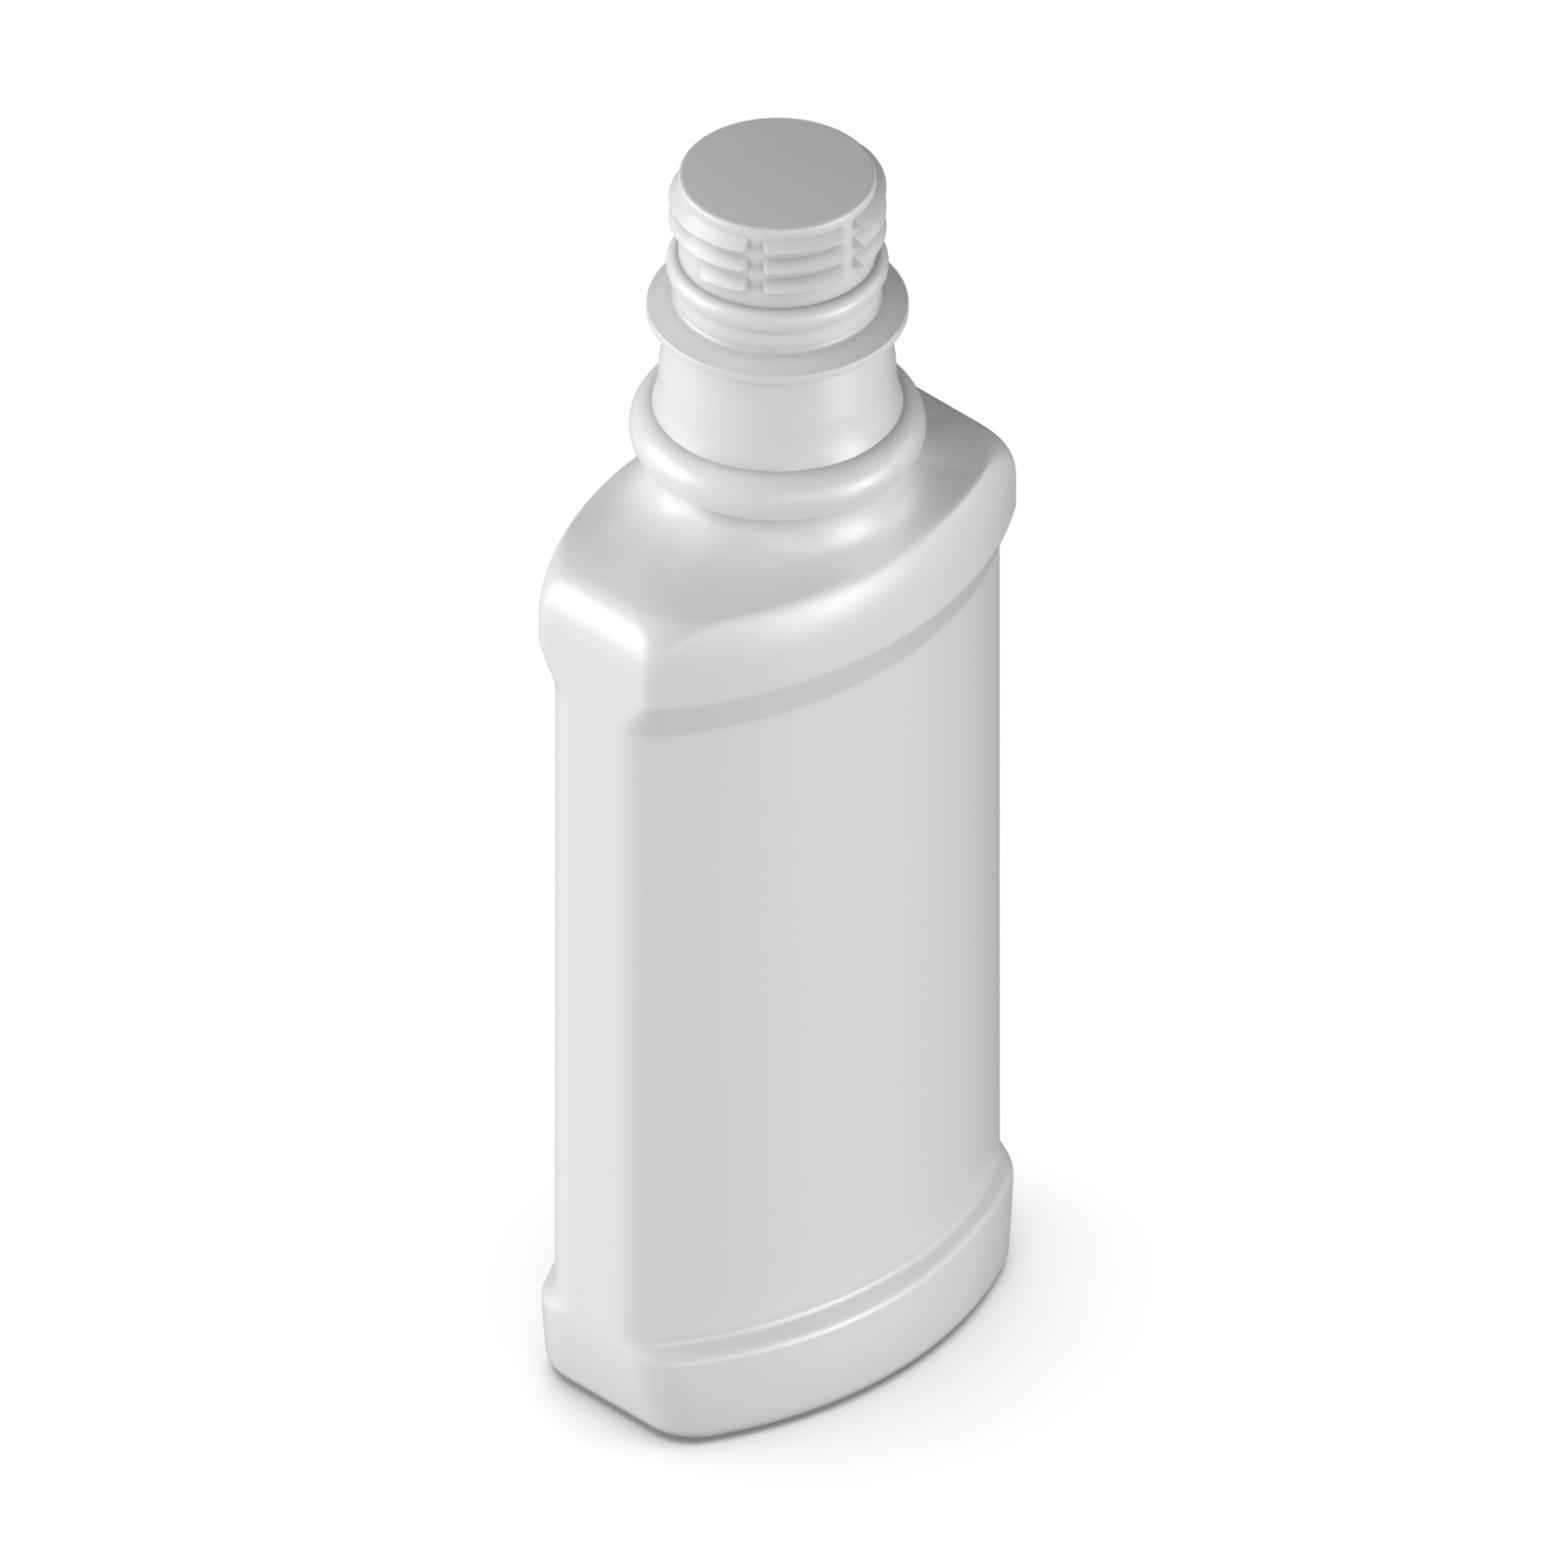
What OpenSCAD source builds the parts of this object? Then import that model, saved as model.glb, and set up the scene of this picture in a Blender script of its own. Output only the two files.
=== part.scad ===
// Bottle for mouthwash: a blow-moulded body with a lens-shaped section, recessed label panels on
// its front and back, a waisted collar and a 28 mm threaded mouth closed by a bonded seal.
// Millimetres, +Z up, +X across the two narrow sides, front at -Y, origin under the middle of the base.

/* [Body] */
// Height from the table to the top of the seal
bottle_h = 175.3; // [140:0.1:230]
// Width across the two narrow sides
body_w = 65.4; // [58:0.2:80]
// Depth across the middle of the band and of the base
body_d = 42; // [40:0.5:56]
// Depth of the narrow side where the two curved faces would meet it
side_d = 20.1; // [18:0.1:26]
// Rounding of the four upright corners of the band
corner_r = 3.6; // [2.5:0.1:7]

/* [Label panel] */
// Depth of the panel behind the band and the base
panel_recess = 2.1; // [0.6:0.1:3]
// Rounding of the four upright corners beside the panel
panel_corner_r = 7; // [5:0.1:8]
// Height of the slope from the panel out to the band
chamfer_h = 5.6; // [3:0.05:8]
// Height of the upright band over that slope
band_h = 4.1; // [3:0.05:10]
// Softening of the edges above and below that slope
soft_edge = 0.5; // [0.2:0.1:1.4]

/* [Base] */
// Height of the panel's lower edge over the table
base_h = 14.8; // [11:0.1:20]
// Rounding of the outer edge of the ledge under the panel
ledge_r = 1.7; // [0.6:0.1:2]
// Height of the ledge, from the panel's lower edge to the upright part of the base
ledge_h = 2.6; // [2.4:0.1:5]
// Rounding of the four upright corners of the base
base_corner_r = 7.6; // [4:0.1:8]
// Rounding of the edge round the underside
base_r = 2.6; // [1.5:0.1:4]
// How far each narrow side draws in towards the table
tuck = 2.9; // [0:0.1:4]
// Height over which the narrow sides draw in
tuck_h = 14; // [8:0.5:14.5]
// Width of the flat ring that the bottle stands on
stand_w = 3.5; // [2:0.5:6]
// Height of the hollow inside that ring
push_up = 1.6; // [0.5:0.1:3]

/* [Shoulder] */
// Height from the band up to the middle of the fat ring
shoulder_h = 18.9; // [17:0.1:26]
// Height of the rounding between the band and the shoulder
round_h = 7.8; // [5:0.1:9]
// How far that rounding would reach in over a narrow side
round_side = 5.3; // [3:0.1:8]
// How far it would reach in over the front and the back
round_face = 2.6; // [2:0.1:4]
// Where the rounding gives way to the shoulder, in degrees short of a full quarter
shoulder_cut = 18.5; // [8:0.5:30]
// Rounding of the four corners where the shoulder starts
shoulder_corner_r = 11.6; // [5:0.1:12]
// Share of the way to the neck where the shoulder starts to turn up, over a narrow side
flare_reach = 0.37; // [0.3:0.01:0.7]
// The same share over the front and the back
flare_reach_face = 0.62; // [0.3:0.01:0.8]
// Share of the way to the neck where it stands upright, over a narrow side
flare_bend = 0.87; // [0.75:0.01:1]
// Rise of the shoulder between those two, on a slope of 45 degrees
flare_rise = 1.3; // [0.2:0.1:2]

/* [Collar] */
// Radius from the axis to the middle of the fat ring's section
ring_r = 15; // [14.5:0.1:16.5]
// Radius of the fat ring's section
ring_bead_r = 3.67; // [2:0.01:4]
// Radius of the collar where its foot flares into the fat ring
foot_r = 15.8; // [15.2:0.1:17]
// Radius of the collar over the flare of its foot
cone_low_r = 14.9; // [14.4:0.1:15.1]
// Radius of the collar under the flange
cone_top_r = 13.9; // [13:0.1:14.3]
// Height of the flare at the collar's foot
foot_h = 6.2; // [3:0.1:8]

/* [Neck] */
// Height from the middle of the fat ring to the top of the seal
neck_h = 38.4; // [36:0.1:44]
// Radius of the flange
flange_r = 16.5; // [15.5:0.1:18]
// Height of the flange's upright edge
flange_edge_h = 1.15; // [0.8:0.05:2]
// Height of the flange's sloping top
flange_slope_h = 1.25; // [0.5:0.05:2]
// Distance from the top of the seal down to the foot of the neck
flange_drop = 18.5; // [17:0.1:20]
// Radius of the neck between the bead and the flange
neck_low_r = 12.9; // [12.6:0.05:13.2]
// Distance from the top of the seal down to the middle of the bead
bead_drop = 13.6; // [13:0.1:15]
// Height of the bead
bead_h = 3.2; // [2:0.1:4]
// Radius of the bead
bead_r = 14; // [13.5:0.05:14.4]

/* [Thread] */
// Radius of the wall between the turns
root_r = 12.47; // [12.2:0.01:12.6]
// Radius over the turns
thread_r = 13.71; // [13.2:0.01:13.9]
// Rise of the thread in one turn
pitch = 3.03; // [2.6:0.01:3.2]
// Number of turns
turns = 2.6; // [1:0.05:2.7]
// Stretch at the top over which the thread fades into the wall, in degrees
fade = 45; // [0:5:90]
// Distance from the top of the seal down to the start of the crest
thread_drop = 9.28; // [9:0.01:9.6]
// Direction of the thread's lower end round the axis
thread_start = 180; // [0:1:359]
// Height of a turn where it leaves the wall
ridge_h = 1.93; // [1.4:0.01:2.2]
// Height of the crest over the lower edge of its turn
crest_h = 0.43; // [0.2:0.01:0.9]
// Width of a vent slot at the wall
slot_w = 1.94; // [1.2:0.01:3]
// Width of a vent slot at the crest
slot_crest_w = 3.8; // [3:0.1:5]
// Angle between the two vent slots of a pair
slot_pair = 57.7; // [40:0.1:80]

/* [Mouth] */
// Radius of the seal
seal_r = 11.7; // [11.2:0.05:12]
// Thickness of the seal
seal_t = 0.3; // [0.2:0.05:0.6]

/* [Hidden] */
$fn = 96;

// Segments along a quarter of the front face, round a corner and along half a narrow side
face_n = 11;
corner_n = 6;
side_n = 2;
// Segments round an edge seen from the side, up the shoulder and over the drawn-in sides
edge_n = 6;
soft_n = 3;
flare_n = 12;
tuck_n = 5;
foot_n = 6;
bead_n = 8;
rim_n = 4;
// Power of the curve by which the narrow sides draw in towards the table
tuck_power = 1.5;
// Underside from its middle outwards: run and height of the hollow as shares of push_up, and corner rounding
hollow = [[4, 1, 2], [1, 0.7, 2.5], [0, 0, 3]];
// How much the rounding of the base's corners tightens for each millimetre that its lower edge draws in
base_corner_ease = 0.5;
// Degrees that the edge of the ledge turns before its slope in to the panel
ledge_turn = 50;
// Where the shoulder ends inside the fat ring: share of the radius of its section, degrees outward from below
flare_sink = 0.89;
flare_side = 14.5;
// Foot of the collar: how deep it starts in the fat ring, and the two points that bend its curve, each by its
// distance outside the low radius of the collar and its share of the foot's height
foot_sink = 0.3;
foot_bends = [[0.25, 0.3], [0.1, 0.6]];
// Degrees of thread in one step, how deep its root lies in the wall, and its height where it ends
thread_step = 6;
thread_sink = 0.4;
fade_left = 0.15;
// Degrees of thread kept whole beside each of its ends, and height kept free under the rounding of the rim
end_gap = 10;
rim_gap = 0.05;

// The front and back are arcs about an upright line this far behind the axis
half_w = body_w / 2;
face_rise = (body_d - side_d) / 2;
face_r = (half_w * half_w + face_rise * face_rise) / (2 * face_rise);
arc_c = face_r - body_d / 2;

rim_r = root_r - seal_r;
ring_z = bottle_h - neck_h;
band_top = ring_z - shoulder_h;
band_low = band_top - band_h;
panel_top = band_low - chamfer_h;

// Points of a quarter outline, from the middle of the front to the middle of the right side
function quarter(a, r, cr) =
    let (cx = a - cr,
         cy = sqrt(pow(r - cr, 2) - cx * cx) - arc_c,
         turn = atan2(cx, cy + arc_c))
    concat(
        [for (i = [0:face_n - 1]) let (t = turn * i / face_n) [r * sin(t), arc_c - r * cos(t)]],
        [for (i = [0:corner_n - 1]) let (t = turn + (90 - turn) * i / corner_n)
            [cx + cr * sin(t), -cy - cr * cos(t)]],
        [for (i = [0:side_n]) [a, -cy * (1 - i / side_n)]]);

// Closed outline at one height: the quarter, mirrored round the axis
function outline(side_in, face_in, cr, z) =
    let (q = quarter(half_w - side_in, face_r - face_in, cr), n = len(q) - 1)
    concat(
        [for (i = [0:n - 1]) [q[i].x, q[i].y, z]],
        [for (i = [n:-1:1]) [q[i].x, -q[i].y, z]],
        [for (i = [0:n - 1]) [-q[i].x, -q[i].y, z]],
        [for (i = [n:-1:1]) [-q[i].x, q[i].y, z]]);

function quadratic(p, t) = pow(1 - t, 2) * p[0] + 2 * t * (1 - t) * p[1] + t * t * p[2];
function bezier(p, t) =
    pow(1 - t, 3) * p[0] + 3 * t * pow(1 - t, 2) * p[1] + 3 * t * t * (1 - t) * p[2] + pow(t, 3) * p[3];

// How far a narrow side is drawn in at height z
function tuck_at(z) = z > tuck_h ? 0 : tuck * pow(1 - z / tuck_h, tuck_power);

// Underside: the hollow, the standing ring and the rounded edge
under_rings = [for (h = hollow)
    let (d = base_r + stand_w + h[0] * push_up)
    outline(d + tuck, d, h[2], h[1] * push_up)];
base_rings = [for (i = [0:edge_n])
    let (a = 90 * i / edge_n, d = base_r * (1 - sin(a)), z = base_r * (1 - cos(a)))
    outline(d + tuck_at(z), d, base_corner_r - base_corner_ease * d, z)];
tuck_rings = [for (i = [1:tuck_n])
    let (z = base_r + (base_h - ledge_h - base_r) * i / tuck_n)
    outline(tuck_at(z), 0, base_corner_r, z)];

// Ledge under the panel: a rounded edge and a slope in to the panel
ledge_rings = [for (i = [1:edge_n])
    let (a = ledge_turn * i / edge_n, d = ledge_r * (1 - cos(a)), z = base_h - ledge_h + ledge_r * sin(a))
    outline(tuck_at(z), d, base_corner_r + (panel_corner_r - base_corner_r) * d / panel_recess, z)];

// Label panel, the slope over it with softened edges, and the band
slope_run = [[panel_recess, panel_top], [0, band_low]];
slope_dir = (slope_run[1] - slope_run[0]) / norm(slope_run[1] - slope_run[0]);
slope_curve = concat(
    [for (i = [0:soft_n]) quadratic([slope_run[0] - [0, soft_edge], slope_run[0],
                                     slope_run[0] + slope_dir * soft_edge], i / soft_n)],
    [for (i = [0:soft_n]) quadratic([slope_run[1] - slope_dir * soft_edge, slope_run[1],
                                     slope_run[1] + [0, soft_edge]], i / soft_n)]);
panel_rings = concat(
    [outline(0, panel_recess, panel_corner_r, base_h)],
    [for (p = slope_curve)
        outline(0, p[0], corner_r + (panel_corner_r - corner_r) * p[0] / panel_recess, p[1])],
    [outline(0, 0, corner_r, band_top)]);

// Rounded edge of the shoulder, by the degrees that it has turned
edge_share = 1 - sin(shoulder_cut);
function edge_ring(a) =
    let (d = 1 - cos(a))
    outline(round_side * d, round_face * d, corner_r + (shoulder_corner_r - corner_r) * d / edge_share,
            band_top + round_h * sin(a));
edge_rings = [for (i = [1:edge_n]) edge_ring((90 - shoulder_cut) * i / edge_n)];

// The shoulder goes on at the slope where that rounding ends, turns up and ends inside the fat ring.
// Its shares change from the narrow sides to the front by how far a point faces the front
flare_top = ring_z - flare_sink * ring_bead_r * cos(flare_side);
flare_r = ring_r + flare_sink * ring_bead_r * sin(flare_side);
edge_end = edge_rings[edge_n - 1];
edge_before = edge_ring(89 - shoulder_cut);
function flare_ring(t) = [for (i = [0:len(edge_end) - 1])
    let (p = edge_end[i],
         q = edge_before[i],
         d = norm([p.x, p.y]),
         run = d - flare_r,
         slope = (p.z - q.z) / (norm([q.x, q.y]) - d),
         face = pow(p.y / d, 2),
         reach = flare_reach + (flare_reach_face - flare_reach) * face,
         bend = flare_bend + (1 - flare_bend) * face,
         turn_z = p.z + reach * run * slope,
         k = 1 - run / d * bezier([0, reach, bend, 1], t),
         z = bezier([p.z, turn_z, turn_z + flare_rise * slope, flare_top], t))
    [p.x * k, p.y * k, z]];
flare_rings = [for (i = [1:flare_n]) flare_ring(i / flare_n)];

body_rings = concat(under_rings, base_rings, tuck_rings, ledge_rings, panel_rings, edge_rings, flare_rings);

// Closed solid through a stack of outlines
module loft(rings) {
    n = len(rings[0]);
    m = len(rings);
    points = [for (ring = rings) for (p = ring) p];
    sides = [for (k = [0:m - 2]) for (i = [0:n - 1])
        let (a = k * n + i, b = k * n + (i + 1) % n)
        each [[a, a + n, b], [b, a + n, b + n]]];
    polyhedron(points, concat([[for (i = [0:n - 1]) i]], sides,
                              [[for (i = [n - 1:-1:0]) (m - 1) * n + i]]));
}

// Collar, flange, bead and rim, turned about the axis
module neck() {
    top = bottle_h - seal_t;
    foot_z = ring_z + ring_bead_r;
    cone_low = foot_z + foot_h;
    cone_top = bottle_h - flange_drop - flange_slope_h - flange_edge_h;
    bead_z = bottle_h - bead_drop;
    // The foot leaves the fat ring at a slope and runs straight into the cone
    foot_curve = concat([[foot_r, foot_z - foot_sink]],
                        [for (b = foot_bends) [cone_low_r + b[0], foot_z + b[1] * foot_h]],
                        [[cone_low_r, cone_low]]);
    rotate_extrude()
        polygon(concat(
            [[0, band_top], [ring_r, band_top], [ring_r, ring_z]],
            [for (i = [0:foot_n]) bezier(foot_curve, i / foot_n)],
            [[cone_top_r, cone_top], [flange_r, cone_top], [flange_r, cone_top + flange_edge_h],
             [neck_low_r, cone_top + flange_edge_h + flange_slope_h]],
            [for (i = [0:bead_n]) let (a = -90 + 180 * i / bead_n, wall_r = a > 0 ? root_r : neck_low_r)
                [wall_r + (bead_r - wall_r) * cos(a), bead_z + bead_h / 2 * sin(a)]],
            [for (i = [0:rim_n]) let (a = 90 * i / rim_n)
                [seal_r + rim_r * cos(a), top - rim_r + rim_r * sin(a)]],
            [[0, top]]));
    translate([0, 0, ring_z]) rotate_extrude() translate([ring_r, 0]) circle(ring_bead_r);
}

// One run of thread between two directions, its crest drawn back at each end
module thread_run(from, to, back_from, back_to) {
    fade_from = thread_start + 360 * turns - fade;
    n = max(1, ceil((to - from) / thread_step));
    depth = thread_r - root_r;
    low = crest_h * (1 + thread_sink / depth);
    high = (ridge_h - crest_h) * (1 + thread_sink / depth);
    in_r = root_r - thread_sink;
    ridge_limit = bottle_h - seal_t - rim_r - rim_gap;
    points = [for (i = [0:n])
        let (t = from + (to - from) * i / n,
             c = from + back_from + (to - back_to - from - back_from) * i / n,
             z = bottle_h - thread_drop + pitch * (t - thread_start) / 360,
             zc = bottle_h - thread_drop + pitch * (c - thread_start) / 360,
             crest_r = c > fade_from ? thread_r - (depth - fade_left) * (c - fade_from) / fade : thread_r)
        each [[in_r * cos(t), in_r * sin(t), z - low],
              [crest_r * cos(c), crest_r * sin(c), zc],
              [in_r * cos(t), in_r * sin(t), min(z + high, ridge_limit)]]];
    sides = [for (i = [0:n - 1]) for (j = [0:2])
        let (a = 3 * i + j, b = 3 * i + (j + 1) % 3)
        each [[a, a + 3, b], [b, a + 3, b + 3]]];
    polyhedron(points, concat([[0, 1, 2]], sides, [[3 * n + 2, 3 * n + 1, 3 * n]]));
}

// The thread, left out at the vent slots
module thread() {
    half_root = asin(slot_w / 2 / root_r);
    back = asin(slot_crest_w / 2 / thread_r) - half_root;
    end = thread_start + 360 * turns;
    pair = [90 - slot_pair, 90, 270 - slot_pair, 270];
    cuts = [for (k = [0:4]) for (s = pair) let (c = 360 * k + s)
        if (c > thread_start + end_gap && c < end - end_gap) c];
    n = len(cuts);
    for (i = [0:n])
        thread_run(i == 0 ? thread_start : cuts[i - 1] + half_root, i == n ? end : cuts[i] - half_root,
                   i == 0 ? 0 : back, i == n ? 0 : back);
}

module bottle() {
    color("white") union() {
        loft(body_rings);
        neck();
        thread();
    }
}

module mouth_seal() {
    color("darkgray") translate([0, 0, bottle_h - seal_t]) cylinder(r = seal_r, h = seal_t);
}

bottle();
mouth_seal();
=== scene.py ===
import math

import bpy
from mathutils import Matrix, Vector


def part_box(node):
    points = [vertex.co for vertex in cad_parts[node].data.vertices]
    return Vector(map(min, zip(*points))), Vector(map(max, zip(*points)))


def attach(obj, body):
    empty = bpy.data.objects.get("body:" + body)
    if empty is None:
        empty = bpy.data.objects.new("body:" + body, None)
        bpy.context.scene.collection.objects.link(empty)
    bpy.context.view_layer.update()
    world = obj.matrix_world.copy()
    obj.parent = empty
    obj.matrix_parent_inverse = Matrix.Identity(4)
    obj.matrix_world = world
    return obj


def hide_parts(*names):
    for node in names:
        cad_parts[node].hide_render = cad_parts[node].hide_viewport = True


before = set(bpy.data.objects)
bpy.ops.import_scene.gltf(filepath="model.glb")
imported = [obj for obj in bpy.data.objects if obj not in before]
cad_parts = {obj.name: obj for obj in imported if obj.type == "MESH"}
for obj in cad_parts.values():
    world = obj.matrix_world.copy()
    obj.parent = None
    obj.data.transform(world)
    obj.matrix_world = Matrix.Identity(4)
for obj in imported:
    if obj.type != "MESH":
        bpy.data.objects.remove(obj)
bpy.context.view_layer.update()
mm = 0.001

bottleLow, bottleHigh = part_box("bottle")
sealLow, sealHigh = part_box("mouth_seal")
print("frame loaded")


# Camera: parallel view, 45 degrees round and the isometric tilt down
cameraView = {
    "round": 45.0,
    "tilt": 35.264,
    "frameWidth": 196.8,  # millimetres across the square picture
    "aimSide": 0.58,  # the axis sits a little left of the picture's middle
    "aimHeight": 81.4,
    "distance": 600.0,
    "nearest": 0.01,  # metres
    "farthest": 20.0,
}


def makeCamera():
    turn = math.radians(cameraView["round"])
    tilt = math.radians(cameraView["tilt"])
    back = Vector((-math.sin(turn) * math.cos(tilt), -math.cos(turn) * math.cos(tilt), math.sin(tilt)))
    aim = Vector((cameraView["aimSide"], -cameraView["aimSide"], cameraView["aimHeight"])) * mm
    data = bpy.data.cameras.new("photoCamera")
    data.type = "ORTHO"
    data.ortho_scale = cameraView["frameWidth"] * mm
    data.clip_start = cameraView["nearest"]
    data.clip_end = cameraView["farthest"]
    camera = bpy.data.objects.new("photoCamera", data)
    bpy.context.scene.collection.objects.link(camera)
    camera.location = aim + back * cameraView["distance"] * mm
    camera.rotation_euler = (-back).to_track_quat("-Z", "Y").to_euler()
    bpy.context.scene.camera = camera


makeCamera()
print("camera made")


# Helpers that several pieces use
def newObject(name, points, faces):
    mesh = bpy.data.meshes.new(name)
    mesh.from_pydata([(x * mm, y * mm, z * mm) for x, y, z in points], [], faces)
    mesh.validate()
    mesh.update()
    thing = bpy.data.objects.new(name, mesh)
    bpy.context.scene.collection.objects.link(thing)
    return thing


def loftRings(rings):
    # closed skin through a stack of rings with the same number of points, lowest ring first
    count = len(rings[0])
    points = [p for ring in rings for p in ring]
    faces = [tuple(reversed(range(count)))]
    for level in range(len(rings) - 1):
        for i in range(count):
            j = (i + 1) % count
            low, high = level * count, (level + 1) * count
            faces.append((low + i, low + j, high + j, high + i))
    last = (len(rings) - 1) * count
    faces.append(tuple(range(last, last + count)))
    return points, faces


def bezier(points, t):
    s = 1 - t
    weights = [s ** 3, 3 * s * s * t, 3 * s * t * t, t ** 3]
    return [sum(w * p[k] for w, p in zip(weights, points)) for k in range(len(points[0]))]


def quadratic(points, t):
    s = 1 - t
    weights = [s * s, 2 * s * t, t * t]
    return [sum(w * p[k] for w, p in zip(weights, points)) for k in range(len(points[0]))]


def steps(count, first=0):
    return [i / count for i in range(first, count + 1)]


# Bottle: body, shoulder and collar as one moulding, in millimetres
body = {
    "width": (bottleHigh.x - bottleLow.x) / mm,
    "depth": (bottleHigh.y - bottleLow.y) / mm,
    "sideDepth": 20.1,
    "recess": 2.1,
    "bandCorner": 3.6,
    "panelCorner": 7.0,
    "baseCorner": 7.6,
    "baseHeight": 14.8,
    "ledgeHeight": 2.6,
    "ledgeRound": 1.7,
    "ledgeTurn": 50.0,
    "ledgeStraight": 0.8,  # share of the way to the crease where its bend starts
    "creaseSoft": 0.7,
    "baseRound": 2.6,
    "tuck": 2.9,
    "tuckHeight": 14.0,
    "tuckPower": 1.5,
    "standWidth": 3.5,
    "pushUp": 1.6,
    "pushUpSpread": 4.0,  # how many times its height the hollow's slope is wide
    "pushUpCorner": 2.0,
    "baseCornerEase": 0.5,  # how much of the rounded foot's inset the corner loses
    "chamfer": 5.6,
    "bandHeight": 4.1,
    "softEdge": 0.5,
    "shoulderHeight": 18.9,
    "roundHeight": 7.8,
    "roundSide": 5.3,
    "roundFace": 2.6,
    "shoulderCut": 18.5,
    "shoulderCorner": 11.6,
    # shares of the way to the neck where the shoulder starts to turn up
    "flareReachSide": 0.37,
    "flareReachFace": 0.62,
    "flareBend": 0.87,
    "flareRise": 1.3,
    "flareOut": 0.82,  # how far outside the middle of the fat ring it ends
    "faceSteps": 40,
    "cornerSteps": 14,
    "sideSteps": 6,
    "sharpAngle": 32.0,
}

neck = {
    "height": 38.4,  # from the middle of the fat ring to the top of the seal
    "ringRadius": 15.0,
    "ringBead": 3.67,
    "ringEnd": 78.0,  # degrees up round the fat ring where the neck leaves it
    "footRadius": 15.8,
    "footSink": 0.05,
    "footBends": ((0.25, 0.3), (0.1, 0.6)),  # outwards from the cone, and share of the foot's height
    "coneLow": 14.9,
    "coneTop": 13.9,
    "footHeight": 6.2,
    "flangeRadius": 16.5,
    "flangeEdge": 1.15,
    "flangeSlope": 1.25,
    "flangeDrop": 18.5,
    "underSoft": 0.25,  # softness of the corner under the flange, of its edge and of its upper root
    "edgeSoft": 0.2,
    "rootSoft": 0.5,
    "slopeRise": 0.35,
    "lowRadius": 12.9,
    "beadDrop": 13.6,
    "beadHeight": 3.2,
    "beadRadius": 14.0,
    "wallRadius": 12.47,
    "sealRadius": (sealHigh.x - sealLow.x) / mm / 2,
    "lipIn": 0.5,  # the rim's rounded lip stands round the film, almost level with it
    "lipBelow": 0.05,
    "wallSteps": 23,
}

sealTop = sealHigh.z / mm
sealUnder = sealLow.z / mm
halfWidth = body["width"] / 2
faceRise = (body["depth"] - body["sideDepth"]) / 2
faceRadius = (halfWidth ** 2 + faceRise ** 2) / (2 * faceRise)
arcCentre = faceRadius - body["depth"] / 2
ringHeight = sealTop - neck["height"]
bandTop = ringHeight - body["shoulderHeight"]
bandLow = bandTop - body["bandHeight"]
panelTop = bandLow - body["chamfer"]


def quarterOutline(sideIn, faceIn, corner):
    # from the middle of the front to the middle of the right-hand narrow side
    side = halfWidth - sideIn
    radius = faceRadius - faceIn
    cornerX = side - corner
    cornerY = math.sqrt((radius - corner) ** 2 - cornerX ** 2) - arcCentre
    turn = math.atan2(cornerX, cornerY + arcCentre)
    outline = []
    for i in range(body["faceSteps"]):
        t = turn * i / body["faceSteps"]
        outline.append((radius * math.sin(t), arcCentre - radius * math.cos(t)))
    for i in range(body["cornerSteps"]):
        t = turn + (math.pi / 2 - turn) * i / body["cornerSteps"]
        outline.append((cornerX + corner * math.sin(t), -cornerY - corner * math.cos(t)))
    for i in range(body["sideSteps"] + 1):
        outline.append((side, -cornerY * (1 - i / body["sideSteps"])))
    return outline


def bodyRing(sideIn, faceIn, corner, height):
    quarter = quarterOutline(sideIn, faceIn, corner)
    forward = quarter[:-1]
    backward = quarter[:0:-1]
    ring = [(x, y, height) for x, y in forward]
    ring += [(x, -y, height) for x, y in backward]
    ring += [(-x, -y, height) for x, y in forward]
    ring += [(-x, y, height) for x, y in backward]
    return ring


def circleRing(ring, radius, height):
    # the ring's points, moved straight in or out onto a circle
    return [(x / math.hypot(x, y) * radius, y / math.hypot(x, y) * radius, height) for x, y, z in ring]


def tuckAt(height):
    if height > body["tuckHeight"]:
        return 0.0
    return body["tuck"] * (1 - height / body["tuckHeight"]) ** body["tuckPower"]


def underRings():
    inner = body["baseRound"] + body["standWidth"]
    rise = body["pushUp"]
    rings = []
    for t in steps(8):
        # the hollow rises in a smooth step from the standing ring to its flat middle
        reach = inner + body["pushUpSpread"] * rise * (1 - t)
        height = rise * (1 - t) ** 2 * (1 + 2 * t)
        rings.append(bodyRing(reach + body["tuck"], reach, body["pushUpCorner"] + t, height))
    return rings


def baseRings():
    rings = []
    for t in steps(12):
        angle = math.pi / 2 * t
        inset = body["baseRound"] * (1 - math.sin(angle))
        height = body["baseRound"] * (1 - math.cos(angle))
        corner = body["baseCorner"] - inset * body["baseCornerEase"]
        rings.append(bodyRing(inset + tuckAt(height), inset, corner, height))
    wallTop = body["baseHeight"] - body["ledgeHeight"]
    for t in steps(10, 1):
        height = body["baseRound"] + (wallTop - body["baseRound"]) * t
        rings.append(bodyRing(tuckAt(height), 0, body["baseCorner"], height))
    return rings


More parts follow.
